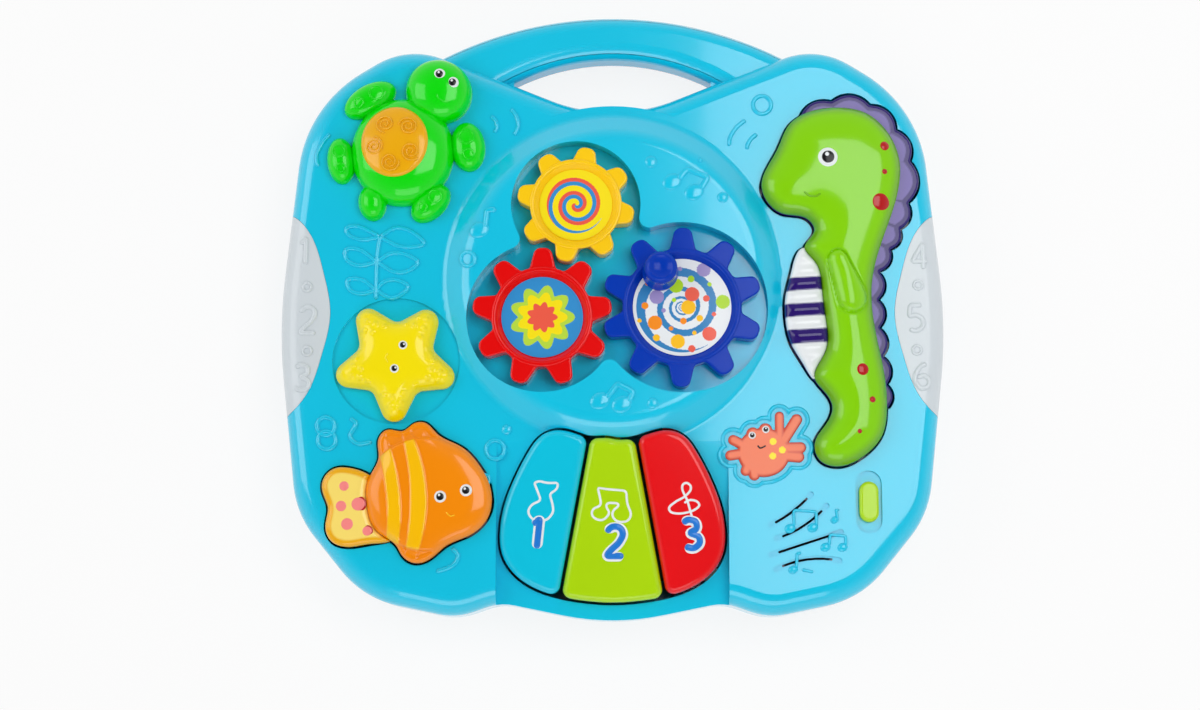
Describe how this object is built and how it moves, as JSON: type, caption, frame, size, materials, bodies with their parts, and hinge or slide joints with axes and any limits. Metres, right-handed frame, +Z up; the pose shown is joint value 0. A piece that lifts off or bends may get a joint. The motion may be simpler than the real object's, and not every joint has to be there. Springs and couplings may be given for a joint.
{
  "type": "activity table",
  "caption": "Activity table top with a carry handle, meshing crank gears, animal buttons, hinged keys, light panels, a volume slider and sockets for plug-in legs.",
  "frame": {"origin": "middle of the overall box in plan, at the level of the feet's undersides", "axes": "+X to the right seen from the keys, +Y towards the carry handle, +Z up"},
  "size_m": [0.399, 0.3695, 0.076],
  "materials": {
    "case_blue": "satin moulded",
    "panel_white": "milky",
    "foot_rubber": "matt",
    "screw_steel": "plated",
    "contact_steel": "plated",
    "cell_steel": "sleeved",
    "gear_blue": "satin moulded",
    "gear_red": "satin moulded",
    "gear_yellow": "satin moulded",
    "label_print": "printed",
    "turtle_green": "satin moulded",
    "shell_amber": "satin moulded",
    "star_yellow": "satin moulded",
    "fish_orange": "satin moulded",
    "tail_pale": "satin moulded",
    "seahorse_lime": "satin moulded",
    "fin_purple": "satin moulded",
    "belly_white": "satin moulded",
    "key_cyan": "satin moulded",
    "key_lime": "satin moulded",
    "key_red": "satin moulded",
    "thumb_lime": "satin moulded",
    "badge_print": "printed",
    "board_green": "solder mask",
    "part_black": "potted",
    "dome_rubber": "translucent grey",
    "lamp_lens": "clear lens",
    "inner_plastic": "moulded",
    "cone_paper": "pressed paper",
    "magnet": "sintered"
  },
  "bodies": {
    "case": {"top_shell": "case_blue", "bottom_shell": "case_blue", "left_light_panel": "panel_white", "right_light_panel": "panel_white", "battery_door": "case_blue", "battery_door_screw": "screw_steel", "batteries": "cell_steel", "battery_contacts": "contact_steel", "case_screws": "screw_steel", "rubber_feet": "foot_rubber", "crab_badge": "badge_print", "gear_washers": "inner_plastic", "gear_screws": "screw_steel", "fish_dome": "dome_rubber", "fish_board": "board_green", "seahorse_domes": "dome_rubber", "seahorse_board": "board_green", "key_axle": "screw_steel", "left_key_dome": "dome_rubber", "middle_key_dome": "dome_rubber", "right_key_dome": "dome_rubber", "main_board": "board_green", "board_parts": "part_black", "left_light_board": "board_green", "right_light_board": "board_green", "left_lights": "lamp_lens", "right_lights": "lamp_lens", "volume_switch": "inner_plastic", "speaker_frame": "inner_plastic", "speaker_cone": "cone_paper", "speaker_magnet": "magnet", "speaker_screws": "screw_steel"},
    "blue_gear_body": {"blue_gear": "gear_blue", "blue_gear_label": "label_print", "crank_knob": "gear_blue"},
    "red_gear_body": {"red_gear": "gear_red", "red_gear_label": "label_print"},
    "yellow_gear_body": {"yellow_gear": "gear_yellow", "yellow_gear_label": "label_print"},
    "turtle": {"turtle_body": "turtle_green", "turtle_shell": "shell_amber", "turtle_washer": "inner_plastic", "turtle_screw": "screw_steel"},
    "star_button": {"star": "star_yellow", "star_washer": "inner_plastic", "star_screw": "screw_steel"},
    "fish": {"fish_body": "fish_orange", "fish_tail": "tail_pale", "fish_bar": "inner_plastic"},
    "seahorse": {"seahorse_fin": "fin_purple", "seahorse_body": "seahorse_lime", "seahorse_belly": "belly_white", "seahorse_bars": "inner_plastic"},
    "left_key_body": {"left_key": "key_cyan"},
    "middle_key_body": {"middle_key": "key_lime"},
    "right_key_body": {"right_key": "key_red"},
    "volume_thumb": {"volume_slider": "thumb_lime"}
  },
  "joints": [
    {"name": "blue_gear_spin", "type": "hinge", "parent": "case", "child": "blue_gear_body", "pos_m": [0.0414, -0.0008, 0.0526], "axis": [0, 0, 1], "continuous": true},
    {"name": "red_gear_spin", "type": "hinge", "parent": "case", "child": "red_gear_body", "pos_m": [-0.0418, -0.0068, 0.0526], "axis": [0, 0, 1], "continuous": true},
    {"name": "yellow_gear_spin", "type": "hinge", "parent": "case", "child": "yellow_gear_body", "pos_m": [-0.022, 0.0617, 0.0526], "axis": [0, 0, 1], "continuous": true},
    {"name": "turtle_swing", "type": "hinge", "parent": "case", "child": "turtle", "pos_m": [-0.127, 0.0935, 0.048], "axis": [0, 0, 1], "range_deg": [-12, 12]},
    {"name": "star_spin", "type": "hinge", "parent": "case", "child": "star_button", "pos_m": [-0.129, -0.032, 0.0465], "axis": [0, 0, 1], "continuous": true},
    {"name": "fish_press", "type": "slide", "parent": "case", "child": "fish", "axis": [0, 0, -1], "range_m": [0, 0.003], "stiffness_N_per_m": 700, "springref_m": -0.002, "deforming": ["fish_dome"]},
    {"name": "seahorse_press", "type": "slide", "parent": "case", "child": "seahorse", "axis": [0, 0, -1], "range_m": [0, 0.003], "stiffness_N_per_m": 1500, "springref_m": -0.003, "deforming": ["seahorse_domes"]},
    {"name": "left_key_press", "type": "hinge", "parent": "case", "child": "left_key_body", "pos_m": [0, -0.046, 0.0375], "axis": [1, 0, 0], "range_deg": [0, 2.5], "stiffness_Nm_per_rad": 1.5, "springref_deg": -2.01, "deforming": ["left_key_dome"]},
    {"name": "middle_key_press", "type": "hinge", "parent": "case", "child": "middle_key_body", "pos_m": [0, -0.046, 0.0375], "axis": [1, 0, 0], "range_deg": [0, 2.5], "stiffness_Nm_per_rad": 1.5, "springref_deg": -2.01, "deforming": ["middle_key_dome"]},
    {"name": "right_key_press", "type": "hinge", "parent": "case", "child": "right_key_body", "pos_m": [0, -0.046, 0.0375], "axis": [1, 0, 0], "range_deg": [0, 2.5], "stiffness_Nm_per_rad": 1.5, "springref_deg": -2.01, "deforming": ["right_key_dome"]},
    {"name": "volume_slide", "type": "slide", "parent": "case", "child": "volume_thumb", "axis": [0, 1, 0], "range_m": [-0.006, 0.006]}
  ],
  "couplings": [
    {"joint": "red_gear_spin", "follows": "blue_gear_spin", "ratio": -1.1111},
    {"joint": "yellow_gear_spin", "follows": "blue_gear_spin", "ratio": 1.25}
  ]
}
